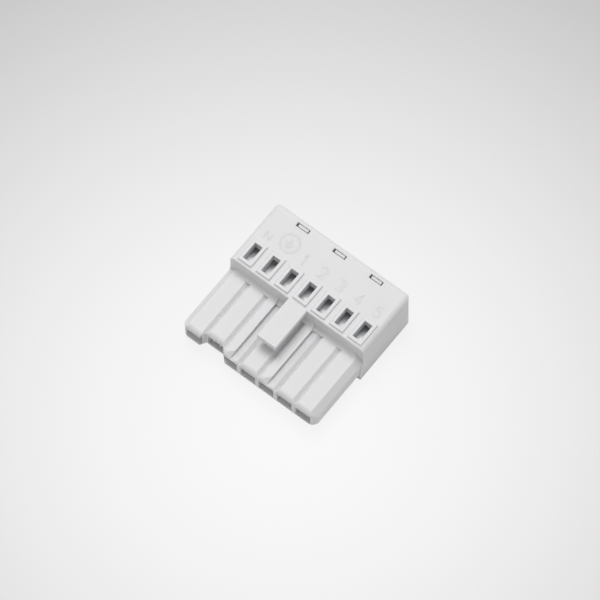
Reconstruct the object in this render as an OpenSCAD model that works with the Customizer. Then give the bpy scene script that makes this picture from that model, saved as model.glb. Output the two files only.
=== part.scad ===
// Cage-clamp plug for wire to board connections: a moulded housing with a tall clamp block and
// a low plug, a rear cover with the wire entries, and one current bar and clamp spring a pole.
// Millimetres. X runs along the row of poles, -Y is the mating side, the underside is at Z 0.

/* [Poles] */
// Number of poles in the row
poles = 7; // [5:1:12]
// Distance from one pole to the next
pitch = 5.0; // [4.9:0.05:6]

/* [Clamp block] */
// Height of the clamp block over its flat underside
block_h = 12.4; // [12.2:0.1:15]
// Depth of the clamp block from its front face to its rear face
block_d = 16.8; // [16.3:0.1:20]
// Lean of the two side walls, in degrees
side_draft = 1.4; // [0.5:0.1:2.5]
// Side wall beside an end chamber, at the top
end_wall = 1.4; // [1.2:0.1:2]
// Wall over the clamp chambers
roof = 1.8; // [1.5:0.05:2.2]
// Wall under the clamp chambers
base = 1.3; // [1:0.1:1.6]
// Wall in front of the clamp chambers
front_wall = 0.9; // [0.7:0.05:1]
// Round along the top side edges
side_edge_r = 1.2; // [0.5:0.1:2]
// Round along the top rear edge
rear_edge_r = 0.8; // [0.4:0.1:1.2]
// Round along the top front edge
front_edge_r = 0.35; // [0.1:0.05:0.6]
// Round of the upright rear corners
rear_corner_r = 1.4; // [0.5:0.1:1.6]
// How far the foot of the block reaches forward under the plug
foot_reach = 1.35; // [0.8:0.05:1.6]
// Height over the underside at which the foot leaves the block's front face
foot_top = 7.0; // [6:0.1:7.5]
// Height of the upright part of the foot's front
foot_h = 2.2; // [1:0.1:2.5]

/* [Plug] */
// Length of the plug in front of the clamp block
plug_len = 17.2; // [16:0.05:20]
// Height of the plug's top over the block's underside
plug_top = 8.0; // [7.8:0.1:8.5]
// Height of the plug's underside over the block's underside
plug_under = 2.6; // [2.3:0.1:2.8]
// Bevel along the two long top edges
side_bevel = 1.5; // [0.8:0.1:1.8]
// Round along the top of the mating face
nose_r = 1.2; // [0.6:0.05:1.25]
// Round of the two upright front corners
corner_r = 1.8; // [1:0.1:2]
// Hollow round where the plug's top meets the block
root_r = 1.6; // [0.8:0.1:2]
// Width of the V grooves between the poles
groove_w = 1.4; // [0.8:0.1:1.6]
// Depth of the V grooves between the poles
groove_d = 0.7; // [0.3:0.05:0.75]
// Plug top left whole between the block and the grooves' ends
groove_start = 1.05; // [1:0.05:3]

/* [Mating side] */
// Width of a contact mouth
mouth_w = 4.0; // [3.8:0.05:4.2]
// Height of a contact mouth
mouth_h = 3.05; // [2.8:0.05:3.1]
// Wall under the contact mouths
mouth_floor = 1.0; // [0.8:0.05:1.1]
// Thinner wall under the lead-in of a mouth
mouth_lip = 0.45; // [0.4:0.05:0.7]
// Depth of the lead-in behind the mating face
mouth_lead = 1.8; // [1:0.1:1.9]
// Poles that carry a coding rib and a lowered strip beside it
rib_poles = [3, 5];
// From a pole's left boundary to the outer wall of its coding rib
rib_w = 2.6; // [2:0.1:3.2]
// Drop from the rib's top to the strip beside it
strip_drop = 0.45; // [0.3:0.05:0.5]
// Width of the gutter along the rib's wall, whose floor slopes up to the strip
gutter_w = 1.7; // [0.8:0.05:1.7]
// Drop from the rib's top to the deepest line of the gutter
gutter_d = 1.1; // [0.6:0.05:1.15]
// How far the slanting bevel on the rib's front corner reaches back along its wall
rib_nose = 2.05; // [1:0.05:2.4]
// Slope of that bevel, in degrees
rib_nose_slope = 37; // [25:1:40]
// Pole whose mating face is set back
notch_pole = 2; // [1:1:5]
// How far that mating face is set back
notch_depth = 1.45; // [1:0.05:2]
// Sideways run of the notch's left flank
notch_left_run = 0.8; // [0.3:0.05:1]
// Sideways run of the notch's right flank
notch_right_run = 1.45; // [0.5:0.05:2]
// How far the notch's back ends short of the pole's right boundary
notch_right_in = 0.35; // [0:0.05:1]

/* [Latch tab] */
// Width of the latch tab
latch_w = 5.0; // [4:0.1:6]
// Length of the latch tab in front of the block
latch_len = 10.9; // [8:0.1:13]
// Thickness of the latch tab
latch_t = 1.4; // [1:0.1:1.8]
// Sideways place of the latch tab from the middle of the row
latch_side = 0.2; // [-0.5:0.1:0.5]
// Round along the upper edges of the latch tab
latch_edge_r = 0.2; // [0.1:0.05:0.5]
// Hollow round under the root of the latch tab
latch_root_r = 0.6; // [0.3:0.1:1]

/* [Test windows] */
// Width of a window
window_w = 2.0; // [1.6:0.05:2.2]
// Length of a window
window_len = 4.4; // [3.8:0.1:5]
// From the block's front face to a window
window_y = 1.45; // [1.25:0.05:1.8]
// Sideways place of a window from the middle of its pole
window_side = 0.1; // [0:0.05:0.15]
// Wall of the raised rim round a window, at the top
rim_wall = 0.7; // [0.5:0.05:0.85]
// How much wider that wall is at its foot
rim_lean = 0.2; // [0.1:0.05:0.25]
// Height of the raised rim over the block
rim_h = 0.5; // [0.3:0.05:0.7]

/* [Rear cover] */
// Thickness of the cover plate
cover_t = 1.0; // [0.8:0.05:1.1]
// Side wall of the block beside the cover plate, at the top
cover_side_wall = 1.1; // [0.8:0.05:1.2]
// Gap between the cover and the housing, all round
cover_gap = 0.05; // [0.03:0.01:0.1]
// Width of a hook slot
slot_w = 3.4; // [3.2:0.05:3.5]
// Length of a hook slot from front to rear
slot_len = 1.0; // [0.9:0.05:1.2]
// From the middle of a hook slot to the block's rear face
slot_inset = 1.7; // [1.65:0.05:2.2]
// Width of a snap hook
hook_w = 2.6; // [2.2:0.05:3]
// Sideways place of a snap hook from the middle of its slot
hook_side = 0.08; // [0:0.01:0.1]
// Flat end of a snap hook, from front to rear
hook_tip = 0.5; // [0.4:0.05:0.6]
// How far a snap hook ends below the surface round its slot
hook_sunk = 0.15; // [0.05:0.05:0.4]
// Thickness of a snap hook's arm
hook_arm_t = 0.8; // [0.6:0.05:1]
// Width of a wire entry at the rear face
entry_w = 4.2; // [3.8:0.1:4.4]
// Height of a wire entry at the rear face
entry_h = 4.8; // [4.2:0.1:5]
// Width of the straight part of a wire entry
throat_w = 2.7; // [2.2:0.1:2.75]
// Height of the straight part of a wire entry
throat_h = 3.0; // [2.6:0.1:3.2]
// Height of the wire entries' middle over the underside
entry_z = 4.5; // [4.4:0.05:4.7]
// Wall of the sleeve round the straight part of a wire entry
sleeve_wall = 0.4; // [0.3:0.05:0.45]
// How far a sleeve reaches into its chamber
sleeve_len = 3.4; // [2.6:0.1:3.6]

/* [Current bar] */
// Thickness of the current bar
bar_t = 0.8; // [0.6:0.05:1]
// Height of the current bar's top over the underside
bar_top = 6.3; // [6:0.05:6.4]
// Width of the bar where it lies on the ledges in its chamber
bar_w = 3.2; // [3:0.05:3.3]
// Room beside the wide part of the bar in its chamber, each side
bar_side_gap = 0.2; // [0.15:0.05:0.3]
// Width of the bar and its contact in the plug
contact_w = 2.6; // [2.4:0.05:2.7]
// Width of the bar's tail, which passes through the spring's window
tail_w = 1.7; // [1.3:0.05:1.8]
// Where the wide part of the bar ends, from the block's front face
ledge_end = 8.2; // [7.5:0.1:8.4]
// Where the bar's tail ends, from the block's front face
tail_end = 10.6; // [10.2:0.1:11]
// Sheet thickness of the two contact arms
arm_t = 0.4; // [0.3:0.05:0.5]
// Height of the two contact arms
arm_h = 2.4; // [1.8:0.1:2.5]
// Distance of the arms' tips from the mating face
arm_setback = 2.0; // [1.8:0.1:3]
// Length of the arms' flared lips
lip_len = 1.8; // [1:0.1:2.5]
// Length of the arms' converging stretch
arm_len = 4.6; // [3.5:0.1:5]
// Length of the arms' straight root
arm_root = 4.0; // [3:0.1:5]
// Gap between the arms where they grip a pin
pin_gap = 0.6; // [0.4:0.05:0.9]
// Gap between the arms' tips
lip_gap = 1.5; // [1:0.05:1.7]
// Gap between a bar or contact and the channel that guides it, each side
channel_gap = 0.05; // [0.03:0.01:0.1]
// How far the narrow channel reaches into the plug
channel_len = 4.0; // [3:0.1:4.5]

/* [Clamp spring] */
// Strip thickness of the clamp spring
spring_t = 0.35; // [0.3:0.05:0.4]
// Strip width of the clamp spring
spring_w = 2.8; // [2.6:0.05:3]
// Outer radius of the spring's front loop
loop_r = 1.9; // [1.5:0.05:1.95]
// Gap between the loop and the chamber's walls
loop_gap = 0.05; // [0.02:0.01:0.1]
// Slope of the spring's upper leg, in degrees
leg_slope = 27; // [25:0.5:28]
// Where the spring's lower leg ends, from the block's front face
lower_leg_end = 7.6; // [6:0.1:7.8]
// Rear face of the spring's cage, from the block's front face
cage_y = 9.7; // [9.4:0.05:10]
// Outer radius of the bend between the upper leg and the cage
cage_bend_r = 0.8; // [0.6:0.05:1]
// Width of the window in the cage
cage_window_w = 2.0; // [1.9:0.05:2.1]
// Height of the crossbar under the window in the cage
crossbar_h = 0.9; // [0.6:0.05:1.2]

/* [Hidden] */
$fn = 48;
arc_steps = 16;
over = 1;
housing_grey = [0.90, 0.90, 0.91];
cover_grey = [0.87, 0.87, 0.88];
tinned_copper = [0.80, 0.72, 0.56];
spring_steel = [0.72, 0.73, 0.75];

sleeve_side = throat_w / 2 + sleeve_wall;
chamber_side = max(bar_w / 2 + bar_side_gap, sleeve_side + cover_gap);
chamber_w = 2 * chamber_side;
body_w = (poles - 1) * pitch + chamber_w + 2 * end_wall;
half_w = body_w / 2;
flare = block_h * tan(side_draft);
half_w_base = half_w + flare;
chamber_top = block_h - roof;
bar_under = bar_top - bar_t;
mouth_base = plug_under + mouth_floor;
strip_top = plug_top - strip_drop;
notch_face = notch_depth - plug_len;
seat_y = block_d - cover_t;
slot_y = block_d - slot_inset;
hook_poles = [for (i = [2:2:poles - 1]) i];
pole_numbers = [for (i = [1:poles]) i];

// Middle and left boundary of a pole, counted from 1
function pole_x(i) = (i - (poles + 1) / 2) * pitch;
function pole_left(i) = pole_x(i) - pitch / 2;

// Puts the middle of the whole length at Y 0; the block's front face is drawn at Y 0 before it
module centred() {
    translate([0, (plug_len - block_d) / 2, 0]) children();
}

// A box from its two corners
module box(low, high) {
    translate(low) cube(high - low);
}

// Extrudes an outline drawn as (Y, Z) from x0 to x1
module along_x(x0, x1) {
    translate([x0, 0, 0]) rotate([90, 0, 90]) linear_extrude(x1 - x0) children();
}

// Extrudes an outline drawn as (X, Z) from y0 to y1
module along_y(y0, y1) {
    translate([0, y1, 0]) rotate([90, 0, 0]) linear_extrude(y1 - y0) children();
}

// What a round takes off a corner at the origin, with the material at negative X and Y
module corner_waste(r) {
    translate([-r, -r]) difference() {
        square(r + over);
        circle(r);
    }
}

// What a hollow round adds to a corner at the origin, with the air at positive X and Y
module corner_fill(r) {
    difference() {
        translate([-over, -over]) square(r + over);
        translate([r, r]) circle(r);
    }
}

// ---- Housing, outside ----

// Side view of the clamp block: upright front face with the curved foot below it
module block_side() {
    foot_drop = foot_top - foot_h;
    foot_r = (foot_drop * foot_drop + foot_reach * foot_reach) / (2 * foot_reach);
    difference() {
        square([block_d, block_h]);
        translate([block_d, block_h]) corner_waste(rear_edge_r);
        translate([0, block_h]) mirror([1, 0]) corner_waste(front_edge_r);
    }
    translate([-foot_reach, 0]) square([foot_reach + over, foot_h]);
    intersection() {
        translate([foot_r - foot_reach, foot_h]) circle(foot_r, $fn = 96);
        translate([-foot_reach, foot_h]) square([foot_reach + over, foot_drop]);
    }
}

// Front view of the clamp block: leaning sides and broad rounds along the top side edges
module block_front() {
    centre_in = side_edge_r * (1 - sin(side_draft)) / cos(side_draft);
    difference() {
        polygon([
            [-half_w_base, 0], [half_w_base, 0],
            [half_w, block_h], [-half_w, block_h]
        ]);
        for (side = [0, 1]) mirror([side, 0]) difference() {
            polygon([
                [half_w - centre_in, block_h - side_edge_r],
                [half_w - centre_in, block_h + over],
                [half_w + over, block_h + over],
                [half_w + over, block_h - side_edge_r + (centre_in + over) * tan(side_draft)]
            ]);
            translate([half_w - centre_in, block_h - side_edge_r]) circle(side_edge_r);
        }
    }
}

module block() {
    difference() {
        intersection() {
            along_x(-half_w_base - over, half_w_base + over) block_side();
            along_y(-foot_reach - over, block_d + over) block_front();
        }
        for (side = [0, 1]) mirror([side, 0, 0])
            translate([half_w_base, block_d, 0]) rotate([0, -side_draft, 0])
            translate([0, 0, -over]) linear_extrude(block_h + 2 * over) corner_waste(rear_corner_r);
    }
}

// Front view of the plug, with the bevels on its long edges carried on above its top by extra
module plug_front(extra = 0) {
    top = plug_top + extra;
    polygon([
        [-half_w, plug_under], [half_w, plug_under],
        [half_w, plug_top - side_bevel], [half_w - side_bevel - extra, top],
        [extra + side_bevel - half_w, top], [-half_w, plug_top - side_bevel]
    ]);
}

// What the round takes off over a mating face at y, drawn as (Y, Z)
module nose_waste(y) {
    translate([y, plug_top]) mirror([1, 0]) corner_waste(nose_r);
}

// Hollow round between a top at height z and the block's front face, from x0 to x1
module root_round(x0, x1, z) {
    intersection() {
        along_x(x0, x1) translate([0, z]) mirror([1, 0]) corner_fill(root_r);
        along_y(-root_r, over) plug_front(root_r);
    }
}

// Height of a pole's top beside the groove on its right
function groove_edge(i) = len(search(i, rib_poles)) > 0 ? strip_top : plug_top;

// V grooves on the boundaries between the poles
module grooves() {
    for (i = [2:poles]) {
        left_top = groove_edge(i - 1);
        translate([pole_left(i), 0, 0]) along_y(-plug_len - over, -groove_start) polygon([
            [0, left_top - groove_d], [groove_w / 2, plug_top], [groove_w / 2, plug_top + root_r],
            [-groove_w / 2, plug_top + root_r], [-groove_w / 2, left_top]
        ]);
    }
}

// Lowered strips beside the coding ribs
module strips() {
    for (i = rib_poles)
        box([pole_left(i) + rib_w, -plug_len - over, strip_top],
            [pole_left(i + 1), over, plug_top + root_r + over]);
}

// Gutters in the strips, deepest along the walls of the ribs
module gutters() {
    for (i = rib_poles)
        translate([pole_left(i) + rib_w, 0, 0]) along_y(-plug_len - over, -groove_start) polygon([
            [0, plug_top - gutter_d], [gutter_w, strip_top],
            [gutter_w, strip_top + over], [0, strip_top + over]
        ]);
}

// Slanting bevels that lead a rib's front corner into its mating slot
module rib_noses() {
    for (i = rib_poles) intersection() {
        box([pole_left(i), -plug_len - over, plug_under],
            [pole_left(i) + rib_w, -plug_len + rib_nose, plug_top + over]);
        translate([pole_left(i) + rib_w, rib_nose - plug_len, 0]) rotate(45)
            along_x(-2 * rib_w, 2 * rib_w) polygon([
                [0, plug_top], [-rib_w, plug_top - rib_w * tan(rib_nose_slope)],
                [-rib_w, plug_top + over], [0, plug_top + over]
            ]);
    }
}

// Set-back mating face of one pole, with flared flanks and its own round
module notch() {
    x0 = pole_left(notch_pole);
    x1 = pole_left(notch_pole + 1) - notch_right_in;
    translate([0, 0, plug_under - over]) linear_extrude(plug_top - plug_under + 2 * over) polygon([
        [x0, notch_face], [x1, notch_face],
        [x1 + notch_right_run, -plug_len], [x1 + notch_right_run, -plug_len - over],
        [x0 - notch_left_run, -plug_len - over], [x0 - notch_left_run, -plug_len]
    ]);
    along_x(x0, x1) nose_waste(notch_face);
}

// Plug with the round along its mating face, its round corners and its hollow root
module plug_body() {
    difference() {
        along_y(-plug_len, over) plug_front();
        along_x(-half_w - over, half_w + over) nose_waste(-plug_len);
        for (side = [0, 1]) mirror([side, 0, 0])
            translate([half_w, -plug_len, 0]) mirror([0, 1, 0])
            linear_extrude(block_h) corner_waste(corner_r);
    }
    root_round(-half_w, half_w, plug_top);
}

module plug() {
    difference() {
        union() {
            difference() {
                plug_body();
                strips();
            }
            for (i = rib_poles) root_round(pole_left(i) + rib_w, pole_left(i + 1), strip_top);
        }
        grooves();
        gutters();
        rib_noses();
        notch();
    }
}

// Flat tab that runs out of the block's top face
module latch_tab() {
    half = latch_w / 2;
    translate([latch_side, 0, 0]) {
        intersection() {
            along_y(-latch_len, over) difference() {
                translate([-half, block_h - latch_t]) square([latch_w, latch_t]);
                for (side = [0, 1]) mirror([side, 0])
                    translate([half, block_h]) corner_waste(latch_edge_r);
            }
            along_x(-half, half) difference() {
                translate([-latch_len, block_h - latch_t]) square([latch_len + over, latch_t]);
                translate([-latch_len, block_h]) mirror([1, 0]) corner_waste(latch_edge_r);
            }
        }
        along_x(-half, half)
            translate([0, block_h - latch_t]) rotate(180) corner_fill(latch_root_r);
    }
}

// Outline of a rim from wall to wall, its walls leaning out to their foot and on into the roof
module rim_outline(wall_from, wall_to) {
    sunk = roof / 2;
    lean = rim_lean * (sunk + rim_h) / rim_h;
    polygon([
        [wall_from - lean, block_h - sunk], [wall_to + lean, block_h - sunk],
        [wall_to, block_h + rim_h], [wall_from, block_h + rim_h]
    ]);
}

// Raised rim: two trapezoids crossed, one seen from the front and one from the side
module window_rim(i) {
    side = window_w / 2 + rim_wall;
    front = window_y - rim_wall;
    rear = window_y + window_len + rim_wall;
    translate([pole_x(i) + window_side, 0, 0]) intersection() {
        along_y(front - over, rear + over) rim_outline(-side, side);
        along_x(-side - over, side + over) rim_outline(front, rear);
    }
}

// ---- Housing, inside ----

module window(i) {
    middle = pole_x(i) + window_side;
    box([middle - window_w / 2, window_y, chamber_top - over],
        [middle + window_w / 2, window_y + window_len, block_h + rim_h + over]);
}

// Everything hollow in one pole: mouth, room for the contact arms, lead-in, channel, ledges for
// the bar, wire space and room for the spring's loop
module pole_hollow(i) {
    face = i == notch_pole ? notch_face : -plug_len;
    channel_side = contact_w / 2 + channel_gap;
    translate([pole_x(i), 0, 0]) {
        box([-mouth_w / 2, -plug_len - over, mouth_base],
            [mouth_w / 2, -channel_len, mouth_base + mouth_h]);
        box([-channel_side, -plug_len - over, bar_top - arm_h - channel_gap],
            [channel_side, -channel_len, bar_top + channel_gap]);
        box([-mouth_w / 2, -plug_len - over, plug_under + mouth_lip],
            [mouth_w / 2, face + mouth_lead, mouth_base + over]);
        box([-channel_side, -channel_len - over, mouth_base],
            [channel_side, front_wall + over, bar_top + channel_gap]);
        box([-channel_side, front_wall, mouth_base], [channel_side, ledge_end + over, bar_under + over]);
        box([-chamber_side, front_wall, bar_under], [chamber_side, seat_y + over, chamber_top]);
        box([-chamber_side, ledge_end, base], [chamber_side, seat_y + over, bar_under + over]);
        box([-chamber_side, front_wall, bar_top],
            [chamber_side, front_wall + 2 * (loop_r + loop_gap), bar_top + 2 * loop_r + loop_gap]);
    }
}

// Slots for the cover's hooks through the roof and the base
module hook_slots() {
    for (i = hook_poles)
        for (z = [-over, chamber_top - over])
            box([pole_x(i) - slot_w / 2, slot_y - slot_len / 2, z],
                [pole_x(i) + slot_w / 2, slot_y + slot_len / 2, z + roof + 2 * over]);
}

module cover_recess() {
    side = half_w - cover_side_wall;
    box([-side, seat_y, base], [side, block_d + over, chamber_top]);
}

module housing() {
    color(housing_grey) centred() difference() {
        union() {
            block();
            plug();
            latch_tab();
            for (i = pole_numbers) window_rim(i);
        }
        for (i = pole_numbers) {
            window(i);
            pole_hollow(i);
        }
        hook_slots();
        cover_recess();
    }
}

// ---- Rear cover ----

// Wire entry: two tapers crossed, one for the width and one for the height
module entry_hollow() {
    end_y = seat_y - sleeve_len;
    intersection() {
        translate([0, 0, base]) linear_extrude(chamber_top - base) polygon([
            [-entry_w / 2, block_d], [-throat_w / 2, seat_y], [-throat_w / 2, end_y - over],
            [throat_w / 2, end_y - over], [throat_w / 2, seat_y], [entry_w / 2, block_d],
            [entry_w / 2, block_d + over], [-entry_w / 2, block_d + over]
        ]);
        along_x(-entry_w, entry_w) translate([0, entry_z]) polygon([
            [block_d, -entry_h / 2], [seat_y, -throat_h / 2], [end_y - over, -throat_h / 2],
            [end_y - over, throat_h / 2], [seat_y, throat_h / 2], [block_d, entry_h / 2],
            [block_d + over, entry_h / 2], [block_d + over, -entry_h / 2]
        ]);
    }
}

// Snap hook: a post on the sleeve's front end and an arm that runs back under the roof,
// with its nose up in the slot
module snap_hook() {
    foot = slot_len / 2 - cover_gap;
    root_y = seat_y - sleeve_len;
    arm_top = chamber_top - cover_gap;
    translate([-hook_w / 2, 0, 0]) along_x(0, hook_w) polygon([
        [root_y, entry_z + throat_h / 2], [root_y + hook_arm_t, entry_z + throat_h / 2],
        [root_y + hook_arm_t, arm_top - hook_arm_t], [slot_y + foot, arm_top - hook_arm_t],
        [slot_y + foot, block_h - hook_sunk - hook_tip / 4],
        [slot_y + hook_tip / 2, block_h - hook_sunk],
        [slot_y - hook_tip / 2, block_h - hook_sunk],
        [slot_y - foot, (arm_top + block_h) / 2], [slot_y - foot, arm_top], [root_y, arm_top]
    ]);
}

// Rigid lug at the cover's lower edge, down in its slot
module lower_lug() {
    foot = slot_len / 2 - cover_gap;
    lug_top = base + cover_gap + hook_arm_t;
    translate([-hook_w / 2, 0, 0]) along_x(0, hook_w) polygon([
        [slot_y - foot, hook_sunk], [slot_y + foot, hook_sunk],
        [slot_y + foot, base + cover_gap], [seat_y + cover_t / 2, base + cover_gap],
        [seat_y + cover_t / 2, lug_top], [slot_y - foot, lug_top]
    ]);
}

module rear_cover() {
    side = half_w - cover_side_wall - cover_gap;
    sleeve_h = throat_h + 2 * sleeve_wall;
    color(cover_grey) centred() {
        difference() {
            union() {
                box([-side, seat_y, base + cover_gap], [side, block_d, chamber_top - cover_gap]);
                for (i = pole_numbers)
                    box([pole_x(i) - sleeve_side, seat_y - sleeve_len, entry_z - sleeve_h / 2],
                        [pole_x(i) + sleeve_side, seat_y + cover_t / 2, entry_z + sleeve_h / 2]);
            }
            for (i = pole_numbers) translate([pole_x(i), 0, 0]) entry_hollow();
        }
        for (i = hook_poles) translate([pole_x(i) + hook_side, 0, 0]) {
            snap_hook();
            lower_lug();
        }
    }
}

// ---- Current bar and contact ----

// One contact arm in plan: straight root, converging stretch and flared lip
module contact_arm() {
    tip = arm_setback - plug_len;
    root_x = contact_w / 2;
    grip_x = pin_gap / 2;
    lip_x = lip_gap / 2;
    polygon([
        [root_x - arm_t, tip + lip_len + arm_len + arm_root],
        [root_x - arm_t, tip + lip_len + arm_len],
        [grip_x, tip + lip_len], [lip_x, tip],
        [lip_x + arm_t, tip], [grip_x + arm_t, tip + lip_len],
        [root_x, tip + lip_len + arm_len], [root_x, tip + lip_len + arm_len + arm_root]
    ]);
}

module contact(i) {
    root_y = arm_setback - plug_len + lip_len + arm_len;
    color(tinned_copper) centred() translate([pole_x(i), 0, 0]) {
        box([-contact_w / 2, root_y, bar_under], [contact_w / 2, front_wall + over, bar_top]);
        box([-bar_w / 2, front_wall + channel_gap, bar_under], [bar_w / 2, ledge_end, bar_top]);
        box([-tail_w / 2, ledge_end - over, bar_under], [tail_w / 2, tail_end, bar_top]);
        for (side = [0, 1]) mirror([side, 0, 0])
            translate([0, 0, bar_top - arm_h]) linear_extrude(arm_h) contact_arm();
    }
}

// ---- Clamp spring ----

// Points on an arc from angle a0 to a1
function arc(centre, r, a0, a1) =
    [for (k = [0:arc_steps]) let (a = a0 + (a1 - a0) * k / arc_steps) centre + r * [cos(a), sin(a)]];

// Side view of the spring, drawn as (Y, Z): lower leg, front loop, upper leg, bend and cage
module spring_side() {
    loop_mid = [front_wall + loop_gap + loop_r, bar_top + loop_r];
    leg_angle = 90 - leg_slope;
    bend_y = cage_y - cage_bend_r;
    leg_drop = (bend_y - loop_mid[0]) * tan(leg_slope);
    bend_mid = [bend_y, loop_mid[1] - leg_drop + (loop_r - cage_bend_r) / cos(leg_slope)];
    cage_base = bar_under - crossbar_h;
    polygon(concat(
        [[lower_leg_end, bar_top]],
        arc(loop_mid, loop_r, 270, leg_angle),
        arc(bend_mid, cage_bend_r, leg_angle, 0),
        [[cage_y, cage_base], [cage_y - spring_t, cage_base]],
        arc(bend_mid, cage_bend_r - spring_t, 0, leg_angle),
        arc(loop_mid, loop_r - spring_t, leg_angle, 270),
        [[lower_leg_end, bar_top + spring_t]]
    ));
}

module clamp_spring(i) {
    window_top = bar_top + channel_gap + spring_t;
    color(spring_steel) centred() translate([pole_x(i), 0, 0]) difference() {
        along_x(-spring_w / 2, spring_w / 2) spring_side();
        box([-cage_window_w / 2, cage_y - 2 * spring_t, bar_under],
            [cage_window_w / 2, cage_y + over, window_top]);
    }
}

housing();
rear_cover();
for (i = pole_numbers) {
    contact(i);
    clamp_spring(i);
}
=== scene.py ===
# %% [markdown]
# # A seven-pole plug housing, moulded in light grey polyamide
# The object is a small electrical plug: a tall block that clamps the wires, a low plug with one
# mouth for each pole, and a flat latch tab. The construction comes from the CAD model, so this
# lesson is about its looks: a convincing moulded plastic, the fine raised marks on the top face,
# sheet metal that glints in the windows, and a quiet studio.

# %% Load the frame
import math

import bpy
from mathutils import Matrix, Vector


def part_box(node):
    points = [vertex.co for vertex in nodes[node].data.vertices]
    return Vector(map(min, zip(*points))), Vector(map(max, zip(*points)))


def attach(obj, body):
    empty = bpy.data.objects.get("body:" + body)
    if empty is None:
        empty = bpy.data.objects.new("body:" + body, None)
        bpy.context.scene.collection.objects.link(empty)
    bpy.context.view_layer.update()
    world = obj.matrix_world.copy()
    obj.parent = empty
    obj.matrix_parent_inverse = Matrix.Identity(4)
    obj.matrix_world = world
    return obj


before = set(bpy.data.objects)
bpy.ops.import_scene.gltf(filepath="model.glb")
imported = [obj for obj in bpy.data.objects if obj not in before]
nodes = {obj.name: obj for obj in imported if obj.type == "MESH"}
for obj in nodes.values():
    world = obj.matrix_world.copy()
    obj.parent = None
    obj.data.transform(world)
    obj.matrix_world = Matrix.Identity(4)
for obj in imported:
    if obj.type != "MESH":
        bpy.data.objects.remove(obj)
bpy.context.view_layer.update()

print("nodes in the frame:", len(nodes))

# %% [markdown]
# ## Sizes
# Lengths on the plug are written in millimetres and turned to metres by one factor; those of the
# studio round it are in metres. Everything that sits on the moulding is placed from the boxes of
# the CAD nodes: the contacts give the middle of each pole, and the housing gives its own top and
# rear. Only two sizes of the moulding can't be read from a box, so they are written here: the
# rims' height and the block's depth.

# %% Sizes taken from the frame
MM = 0.001
RIM_HEIGHT = 0.5 * MM          # the rims round the windows stand this far over the top face
BLOCK_DEPTH = 16.8 * MM        # front face to rear face of the clamp block

housing_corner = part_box("housing")[1]      # its highest corner, at the rear right
TOP_Z = housing_corner.z - RIM_HEIGHT
FRONT_Y = housing_corner.y - BLOCK_DEPTH

contact_names = sorted(name for name in nodes if name.startswith("contact_"))
pole_x = [sum(corner.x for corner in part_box(name)) / 2 for name in contact_names]
print("pole middles in mm:", [round(x / MM, 2) for x in pole_x])

# %% [markdown]
# ## Camera
# The view is a long-lens product shot from high over the front right corner. A long lens keeps
# the row of poles almost parallel. A camera could be placed by hand and turned until it fits,
# but two angles, a distance and one point to aim at say the same thing in a way that can be
# read: the point is the middle of the top front edge of the clamp block.

# %% Camera
VIEW_AZIMUTH = math.radians(37.975)
VIEW_ELEVATION = math.radians(66.222)
VIEW_DISTANCE = 1001.07 * MM
ASIDE = Vector((0.714, 0.925)) * MM     # slides the camera along its own right and up axes
SENSOR_WIDTH, LENS = 36, 278.97         # both in millimetres, as the camera's settings take them
NEAR, FAR = 0.05, 20                    # what lies between these distances is drawn, in metres

aim = Vector((0, FRONT_Y, TOP_Z))
forward = Vector((-math.sin(VIEW_AZIMUTH) * math.cos(VIEW_ELEVATION),
                  math.cos(VIEW_AZIMUTH) * math.cos(VIEW_ELEVATION),
                  -math.sin(VIEW_ELEVATION)))
right = Vector((math.cos(VIEW_AZIMUTH), math.sin(VIEW_AZIMUTH), 0))
upward = right.cross(forward)

camera_data = bpy.data.cameras.new("camera")
camera_data.sensor_width = SENSOR_WIDTH
camera_data.lens = LENS
camera_data.clip_start = NEAR
camera_data.clip_end = FAR
camera = bpy.data.objects.new("camera", camera_data)
bpy.context.scene.collection.objects.link(camera)
turn = Matrix((right, upward, -forward)).transposed().to_4x4()
place = aim - forward * VIEW_DISTANCE + right * ASIDE.x + upward * ASIDE.y
camera.matrix_world = Matrix.Translation(place) @ turn
bpy.context.scene.camera = camera
print("camera at", [round(v, 3) for v in place])

# %% [markdown]
# ## Small helpers
# Colours are chosen as hex values on screen, but shaders work in linear light, so one function
# converts them. A second one adds a node with its settings and its inputs in a single call; an
# input may be a value or another node's output. A third makes a material with nothing in it but
# its output, so that every finish starts from an empty tree.

# %% Colour and node helpers
def linear(hex_colour):
    """A hex colour such as "DCDCDD" as linear RGBA."""
    channels = [int(hex_colour[i:i + 2], 16) / 255 for i in (0, 2, 4)]
    rgb = [c / 12.92 if c <= 0.04045 else ((c + 0.055) / 1.055) ** 2.4 for c in channels]
    return (*rgb, 1.0)


def add(tree, kind, inputs=None, **settings):
    """Adds a node of that kind, with its settings and its inputs by name or number."""
    new = tree.nodes.new(kind)
    for name, value in settings.items():
        setattr(new, name, value)
    for name, value in (inputs or {}).items():
        if isinstance(value, bpy.types.NodeSocket):
            tree.links.new(value, new.inputs[name])
        else:
            new.inputs[name].default_value = value
    return new


def blank_material(name):
    """A material with an empty node tree and its output node."""
    material = bpy.data.materials.new(name)
    material.use_nodes = True
    tree = material.node_tree
    tree.nodes.clear()
    return material, tree, add(tree, "ShaderNodeOutputMaterial")


print("half grey 808080 in linear light:", round(linear("808080")[0], 3))

# %% [markdown]
# ## Moulded polyamide
# The housing is unfilled polyamide 6.6 in light grey, injection moulded in a spark-eroded tool.
# To the eye it is matt with a soft broad sheen, and every edge carries a tiny round that catches
# the light. Real rounds on every edge would cost thousands of faces, so a bevel node gives the
# shading that round without touching the mesh. A fine noise gives the eroded grain, and a slow
# one the faint cloudiness of moulded nylon. Light also sinks a little way into nylon and comes
# out again, which lifts the shade inside the windows and mouths; subsurface scattering does that.

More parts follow.
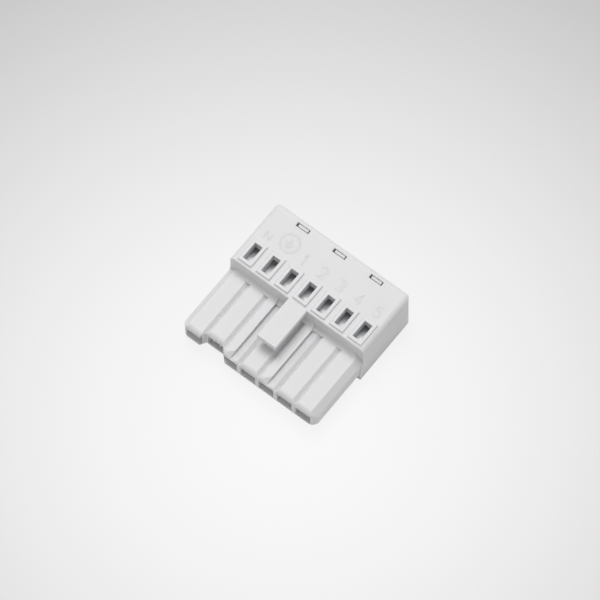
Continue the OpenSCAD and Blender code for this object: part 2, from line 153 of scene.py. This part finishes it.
# %% Moulded polyamide
CLOUD_SIZE = 9 * MM
GRAIN_SIZE = 0.16 * MM       # a real eroded grain is near 0.05 mm; drawn coarser, so that it shows
GRAIN_DEPTH = 0.012 * MM
GLOW_DEPTH = 1.2 * MM        # how far light wanders inside the nylon


def polyamide(name, pale, dull, edge_round, inner_glow):
    """Matt moulded nylon between two close tones, with its eroded grain and soft edges."""
    material, tree, output = blank_material(name)
    position = add(tree, "ShaderNodeTexCoord").outputs["Object"]
    cloud = add(tree, "ShaderNodeTexNoise",
                {"Vector": position, "Scale": 1 / CLOUD_SIZE, "Detail": 3.0, "Roughness": 0.5})
    tone = add(tree, "ShaderNodeMix",
               {0: cloud.outputs["Fac"], 6: linear(dull), 7: linear(pale)}, data_type="RGBA")
    grain = add(tree, "ShaderNodeTexNoise",
                {"Vector": position, "Scale": 1 / GRAIN_SIZE, "Detail": 2.0, "Roughness": 0.6})
    edge = add(tree, "ShaderNodeBevel", {"Radius": edge_round}, samples=4)
    relief = add(tree, "ShaderNodeBump",
                 {"Strength": 0.25, "Distance": GRAIN_DEPTH, "Height": grain.outputs["Fac"],
                  "Normal": edge.outputs["Normal"]})
    # 1.53 is the IOR of polyamide, and the roughness is matched to its soft broad sheen.
    plastic = add(tree, "ShaderNodeBsdfPrincipled",
                  {"Base Color": tone.outputs[2], "Roughness": 0.52, "IOR": 1.53,
                   "Subsurface Weight": inner_glow, "Subsurface Radius": (1, 1, 1),
                   "Subsurface Scale": GLOW_DEPTH, "Normal": relief.outputs["Normal"]})
    tree.links.new(plastic.outputs[0], output.inputs["Surface"])
    return material


# The cover comes out of a second mould, a shade darker and with crisper edges. The marks are a
# mesh of their own, far thinner than the light would wander, so an inner glow would leak out
# below them and leave them dark. Theirs is off.
housing_nylon = polyamide("light grey moulded polyamide", "DCDCDD", "D8D8D9",
                          edge_round=0.14 * MM, inner_glow=0.5)
cover_nylon = polyamide("light grey cover polyamide", "DADADB", "D6D6D7",
                        edge_round=0.08 * MM, inner_glow=0.5)
mark_nylon = polyamide("light grey polyamide of the marks", "DCDCDD", "D8D8D9",
                       edge_round=0.02 * MM, inner_glow=0.0)
print("plastics:", [plastic.name for plastic in (housing_nylon, cover_nylon, mark_nylon)])

# %% [markdown]
# ## Sheet metal
# The current bars are stamped from tin-plated copper alloy. Tin is a soft, warm grey metal with
# a satin surface, so the bars are fully metallic and moderately rough. The clamp springs are
# stainless strip, tumbled after bending, which leaves thousands of tiny dents: to the eye they
# are pale and dull, and scatter light more than they mirror it. A low metallic value stands for
# that, because a mirror deep inside a window would only show the dark chamber. Both carry
# rolling marks along the strip, which a noise draws when it is stretched along one axis.

# %% Sheet metals
ROLL_MARK = 0.18 * MM        # real rolling marks are near 0.03 mm; drawn coarser, so they show
ROLL_DEPTH = 0.006 * MM


def rolled_metal(name, bright, dull, roughness, stretch, metallic):
    """Metal sheet with rolling marks along Y, drawn by a stretched noise."""
    material, tree, output = blank_material(name)
    position = add(tree, "ShaderNodeTexCoord").outputs["Object"]
    drawn = add(tree, "ShaderNodeMapping", {"Vector": position, "Scale": (1, 1 / stretch, 1)})
    streaks = add(tree, "ShaderNodeTexNoise",
                  {"Vector": drawn.outputs[0], "Scale": 1 / ROLL_MARK, "Detail": 2.0})
    tone = add(tree, "ShaderNodeMix",
               {0: streaks.outputs["Fac"], 6: linear(dull), 7: linear(bright)}, data_type="RGBA")
    relief = add(tree, "ShaderNodeBump",
                 {"Strength": 0.3, "Distance": ROLL_DEPTH, "Height": streaks.outputs["Fac"]})
    metal = add(tree, "ShaderNodeBsdfPrincipled",
                {"Base Color": tone.outputs[2], "Metallic": metallic, "Roughness": roughness,
                 "Normal": relief.outputs["Normal"]})
    tree.links.new(metal.outputs[0], output.inputs["Surface"])
    return material


tinned_copper = rolled_metal("tin-plated copper alloy", "CFC8B8", "B3AB9A",
                             roughness=0.38, stretch=4, metallic=1.0)
spring_strip = rolled_metal("tumbled stainless strip", "EEEFF0", "E2E3E5",
                            roughness=0.6, stretch=10, metallic=0.3)
print("metals:", [metal.name for metal in (tinned_copper, spring_strip)])

# %% [markdown]
# ## Dressing the CAD nodes
# The CAD nodes arrive with plain colours. Their meshes stay as they are, and only the material
# in their slots changes. The start of a node's name says what it is made of, so one short table
# dresses all of them.

# %% Dress the CAD nodes
FINISHES = {"housing": housing_nylon, "rear_cover": cover_nylon,
            "contact_": tinned_copper, "clamp_spring_": spring_strip}
for name, node in nodes.items():
    finish = next(material for start, material in FINISHES.items() if name.startswith(start))
    node.data.materials.clear()
    node.data.materials.append(finish)
print("dressed nodes:", {start: sum(name.startswith(start) for name in nodes)
                         for start in FINISHES})

# %% [markdown]
# ## Raised marks on the top face
# The mould leaves fine raised marks beside the test windows: the numbers of five poles, the
# letter of the neutral pole and an earth sign in a ring. They are so low that they matter to the
# looks alone, so they are made here and not in the CAD model. A text object could give the
# numbers, but a font's outlines are thicker and squarer than an engraver's strokes. So each mark
# is drawn by the centre lines of its strokes, with round stretches worked out as arcs.

# %% Centre lines of the marks
def arc_points(centre, radii, start, end, steps=12):
    """Points on an elliptic arc, from one angle to another in degrees."""
    angles = [math.radians(start + (end - start) * k / steps) for k in range(steps + 1)]
    return [(centre[0] + radii[0] * math.cos(a), centre[1] + radii[1] * math.sin(a))
            for a in angles]


# Every glyph is one unit high, centred on the origin, as a list of strokes.
GLYPHS = {
    "1": [[(-0.15, 0.25), (0.05, 0.5), (0.05, -0.5)]],
    "2": [arc_points((0, 0.2), (0.27, 0.3), 160, -40) + [(-0.28, -0.5), (0.29, -0.5)]],
    "3": [arc_points((-0.02, 0.25), (0.25, 0.25), 150, -90)
          + arc_points((-0.02, -0.25), (0.28, 0.25), 90, -150)],
    "4": [[(0.12, -0.5), (0.12, 0.5), (-0.28, -0.22), (0.3, -0.22)]],
    "5": [[(0.24, 0.5), (-0.18, 0.5), (-0.23, 0.06)]
          + arc_points((-0.02, -0.18), (0.28, 0.32), 130, -145)],
    "N": [[(-0.32, -0.5), (-0.32, 0.5), (0.32, -0.5), (0.32, 0.5)]],
    "earth": [[(0, 0.5), (0, -0.05)], [(-0.42, -0.05), (0.42, -0.05)],
              [(-0.27, -0.27), (0.27, -0.27)], [(-0.12, -0.49), (0.12, -0.49)]],
    "ring": [arc_points((0, 0), (0.5, 0.5), 0, 360, 48)],
}
print("strokes of each glyph:", {glyph: len(drawn) for glyph, drawn in GLYPHS.items()})

# %% [markdown]
# ## Places of the marks
# Each mark belongs to a pole, so its place across the plug comes from that pole's contact, and
# its place in depth is counted from the block's front face. The first pole is the neutral one,
# the second is the earth, and the rest are numbered from one.

# %% Places of the marks
DIGIT_HEIGHT = 2.8 * MM
DIGIT_ASIDE = -0.1 * MM                # the numbers stand a little left of their poles' middles
DIGIT_Y = FRONT_Y + 9.35 * MM          # middle of the numbers, behind the windows
LETTER_HEIGHT = 2.0 * MM
LETTER_ASIDE = 0.1 * MM
LETTER_Y = FRONT_Y + 8.95 * MM
RING_WIDTH, EARTH_HEIGHT = 4.4 * MM, 2.5 * MM
RING_Y = FRONT_Y + 10.5 * MM


def strokes_at(glyph, x, y, height):
    """The strokes of a glyph at its place and height on the top face, in metres."""
    return [[(x + u * height, y + v * height, TOP_Z) for u, v in stroke]
            for stroke in GLYPHS[glyph]]


neutral_x, earth_x, *digit_x = pole_x
strokes = []
for number, x in enumerate(digit_x, start=1):
    strokes += strokes_at(str(number), x + DIGIT_ASIDE, DIGIT_Y, DIGIT_HEIGHT)
strokes += strokes_at("N", neutral_x + LETTER_ASIDE, LETTER_Y, LETTER_HEIGHT)
strokes += strokes_at("ring", earth_x, RING_Y, RING_WIDTH)
strokes += strokes_at("earth", earth_x, RING_Y, EARTH_HEIGHT)
print("strokes on the top face:", len(strokes))

# %% [markdown]
# ## A tree that raises the strokes
# An engraver cuts the marks into the mould with one small tapered cutter, so on the part every
# stroke is the same low ridge with sloping flanks. Geometry Nodes do just that: one profile is
# swept along every centre line, and the stroke width and the relief are two named inputs for the
# whole set. The profile is twice the relief high, so that its lower half is sunk in the face and
# no gap shows under it.

# %% Stroke tree
# The ridge narrows upwards. Half-way, where it leaves the face, it is one stroke width across.
CREST_SHARE, FOOT_SHARE = 0.2, 1.8


def stroke_tree():
    """Geometry Nodes: every edge line becomes a low raised ridge of one width."""
    tree = bpy.data.node_groups.new("raised strokes", "GeometryNodeTree")
    for name, kind in (("Geometry", "NodeSocketGeometry"), ("Stroke width", "NodeSocketFloat"),
                       ("Relief", "NodeSocketFloat"), ("Material", "NodeSocketMaterial")):
        tree.interface.new_socket(name, in_out="INPUT", socket_type=kind)
    tree.interface.new_socket("Geometry", in_out="OUTPUT", socket_type="NodeSocketGeometry")
    given = add(tree, "NodeGroupInput").outputs
    lines = add(tree, "GeometryNodeMeshToCurve", {"Mesh": given["Geometry"]})
    upright = add(tree, "GeometryNodeSetCurveNormal", {"Curve": lines.outputs[0]}, mode="Z_UP")
    tall = add(tree, "ShaderNodeMath", {0: given["Relief"], 1: 2.0}, operation="MULTIPLY")
    crest = add(tree, "ShaderNodeMath", {0: given["Stroke width"], 1: CREST_SHARE},
                operation="MULTIPLY")
    foot = add(tree, "ShaderNodeMath", {0: given["Stroke width"], 1: FOOT_SHARE},
               operation="MULTIPLY")
    # The sweep turns the profile over, so that its bottom edge becomes the crest of the ridge.
    profile = add(tree, "GeometryNodeCurvePrimitiveQuadrilateral",
                  {"Height": tall.outputs[0], "Bottom Width": crest.outputs[0],
                   "Top Width": foot.outputs[0], "Offset": 0.0}, mode="TRAPEZOID")
    swept = add(tree, "GeometryNodeCurveToMesh",
                {"Curve": upright.outputs[0], "Profile Curve": profile.outputs[0],
                 "Fill Caps": True})
    real = add(tree, "GeometryNodeRealizeInstances", {0: swept.outputs[0]})
    painted = add(tree, "GeometryNodeSetMaterial",
                  {"Geometry": real.outputs[0], "Material": given["Material"]})
    add(tree, "NodeGroupOutput", {0: painted.outputs[0]})
    return tree


ridge_tree = stroke_tree()
print("nodes in the stroke tree:", len(ridge_tree.nodes))

# %% [markdown]
# ## Growing the marks
# The centre lines become a mesh of edges alone, and the tree turns it into ridges. A modifier
# could stay on the object, but a finished piece is easier to hand on as a plain mesh, so the
# evaluated result is copied and the drawing thrown away. The ridges' flanks are flat facets,
# and flat shading keeps them crisp.

# %% Grow the marks
STROKE_WIDTH = 0.3 * MM
RELIEF = 0.05 * MM


def grown(name, drawing, tree, settings):
    """A plain mesh object grown by a tree from a drawing, its inputs set by their names."""
    source = bpy.data.objects.new(name + " drawing", drawing)
    bpy.context.scene.collection.objects.link(source)
    modifier = source.modifiers.new("tree", "NODES")
    modifier.node_group = tree
    for item in tree.interface.items_tree:
        if item.in_out == "INPUT" and item.name in settings:
            modifier[item.identifier] = settings[item.name]
    result = source.evaluated_get(bpy.context.evaluated_depsgraph_get())
    mesh = bpy.data.meshes.new_from_object(result)
    mesh.shade_flat()
    bpy.data.objects.remove(source)
    piece = bpy.data.objects.new(name, mesh)
    bpy.context.scene.collection.objects.link(piece)
    return piece


points, edges = [], []
for stroke in strokes:
    first = len(points)
    points += stroke
    edges += [(k, k + 1) for k in range(first, len(points) - 1)]
centre_lines = bpy.data.meshes.new("mark centre lines")
centre_lines.from_pydata(points, edges, [])
marks = grown("raised_marks", centre_lines, ridge_tree,
              {"Stroke width": STROKE_WIDTH, "Relief": RELIEF, "Material": mark_nylon})
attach(marks, "root")
print("marks:", len(marks.data.polygons), "faces,",
      "top at", round((max(v.co.z for v in marks.data.vertices) - TOP_Z) / MM, 3), "mm")

# %% [markdown]
# ## Floor
# The plug lies on a sweep of matt white paper. A curved backdrop would do, but from so high a
# view only the ground shows, so the sheet is one flat face, far wider than the view.

# %% Floor sheet
FLOOR_HALF = 2.5                       # half of the sheet's side, in metres
floor_mesh = bpy.data.meshes.new("floor")
corners = [(-1, -1), (1, -1), (1, 1), (-1, 1)]
floor_mesh.from_pydata([(x * FLOOR_HALF, y * FLOOR_HALF, 0) for x, y in corners], [],
                       [(0, 1, 2, 3)])
floor = bpy.data.objects.new("floor", floor_mesh)
bpy.context.scene.collection.objects.link(floor)
print("floor:", 2 * FLOOR_HALF, "m square")

# %% [markdown]
# ## White paper
# Under plain lamps a white sheet looks grey. More light would burn out the plug, so the paper
# gets a little glow of its own, for the camera and for rays that come by gloss or glass alone:
# the plug is lit as before. The glow is mixed with the matt paper, which keeps the shadow, and
# fades gently with the distance from a painted pool of light beside the plug, as on a lit
# studio table.

# %% White paper
GLOW_SHARE = 0.91                      # the rest is matt paper, which takes the shadow
# The pool is painted light: the paper's own glow rises towards this point, and no lamp makes it.
PAINTED_POOL_MIDDLE = (0.011, -0.018, 0)       # where the ground is brightest, in metres
PAINTED_POOL_REACH = 0.146                     # how far the brightest part spreads, in metres
MIDDLE_LEVEL, EDGE_LEVEL = 0.955, 0.15


def background_rays(tree):
    """1 for camera, glossy and transmission rays, so that metal shows the white ground too."""
    path = add(tree, "ShaderNodeLightPath").outputs
    glints = add(tree, "ShaderNodeMath",
                 {0: path["Is Glossy Ray"], 1: path["Is Transmission Ray"]}, operation="MAXIMUM")
    return add(tree, "ShaderNodeMath", {0: path["Is Camera Ray"], 1: glints.outputs[0]},
               operation="MAXIMUM").outputs[0]


white_paper, tree, output = blank_material("white sweep")
share = add(tree, "ShaderNodeMath", {0: background_rays(tree), 1: GLOW_SHARE},
            operation="MULTIPLY")
matt = add(tree, "ShaderNodeBsdfDiffuse", {"Color": linear("F2F2F2")})
position = add(tree, "ShaderNodeTexCoord").outputs["Object"]
# The painted pool of light is a bell curve: e to the power of minus the square of distance over
# reach.
away = add(tree, "ShaderNodeVectorMath", {0: position, 1: PAINTED_POOL_MIDDLE}, operation="DISTANCE")
reach = add(tree, "ShaderNodeMath", {0: away.outputs["Value"], 1: PAINTED_POOL_REACH}, operation="DIVIDE")
square = add(tree, "ShaderNodeMath", {0: reach.outputs[0], 1: 2.0}, operation="POWER")
fading = add(tree, "ShaderNodeMath", {0: square.outputs[0], 1: -1.0}, operation="MULTIPLY")
painted_pool = add(tree, "ShaderNodeMath", {0: fading.outputs[0]}, operation="EXPONENT")
level = add(tree, "ShaderNodeMapRange",
            {"Value": painted_pool.outputs[0], "To Min": EDGE_LEVEL, "To Max": MIDDLE_LEVEL})
glow = add(tree, "ShaderNodeEmission", {"Color": (1, 1, 1, 1), "Strength": level.outputs[0]})
mixed = add(tree, "ShaderNodeMixShader",
            {0: share.outputs[0], 1: matt.outputs[0], 2: glow.outputs[0]})
tree.links.new(mixed.outputs[0], output.inputs["Surface"])
floor_mesh.materials.append(white_paper)
print("paper:", len(tree.nodes), "nodes, glow from", EDGE_LEVEL, "to", MIDDLE_LEVEL)

# %% [markdown]
# ## Softbox
# One large soft lamp hangs over the rear left of the plug. It leaves the top faces pale, the
# front and right sides a shade darker, and a soft short shadow at the front. A small lamp would
# draw hard shadows into the windows, so the box is wide.

# %% Softbox
BOX_SIDE, BOX_POWER = 0.55, 7.4        # metres and watts
BOX_PLACE = Vector((-0.24, 0.23, 1.07))

lamp_data = bpy.data.lights.new("overhead softbox", "AREA")
lamp_data.shape = "SQUARE"
lamp_data.size = BOX_SIDE
lamp_data.energy = BOX_POWER
lamp = bpy.data.objects.new("overhead softbox", lamp_data)
lamp.location = BOX_PLACE
lamp.rotation_euler = (-BOX_PLACE).to_track_quat("-Z", "Y").to_euler()   # it faces the origin
bpy.context.scene.collection.objects.link(lamp)
print("lamp:", lamp.name, "at", [round(v, 2) for v in lamp.location])

# %% [markdown]
# ## Studio around
# Pale walls send an even light back from all sides, which fills the shade. They could be built,
# but the world can stand for them: a plain level of light for the plug, and a clean white for
# the rays that show the background. The Standard view transform then shows each colour about as
# it is written.

# %% World and view
WALL_LEVEL = 0.465

world = bpy.data.worlds.new("studio")
bpy.context.scene.world = world
world.use_nodes = True
tree = world.node_tree
tree.nodes.clear()
plain = add(tree, "ShaderNodeBackground", {"Color": (1, 1, 1, 1), "Strength": WALL_LEVEL})
white = add(tree, "ShaderNodeBackground", {"Color": linear("F7F7F7"), "Strength": 1.0})
mixed = add(tree, "ShaderNodeMixShader",
            {0: background_rays(tree), 1: plain.outputs[0], 2: white.outputs[0]})
add(tree, "ShaderNodeOutputWorld", {"Surface": mixed.outputs[0]})
bpy.context.scene.view_settings.view_transform = "Standard"
print("world:", world.name, "with walls at", WALL_LEVEL)
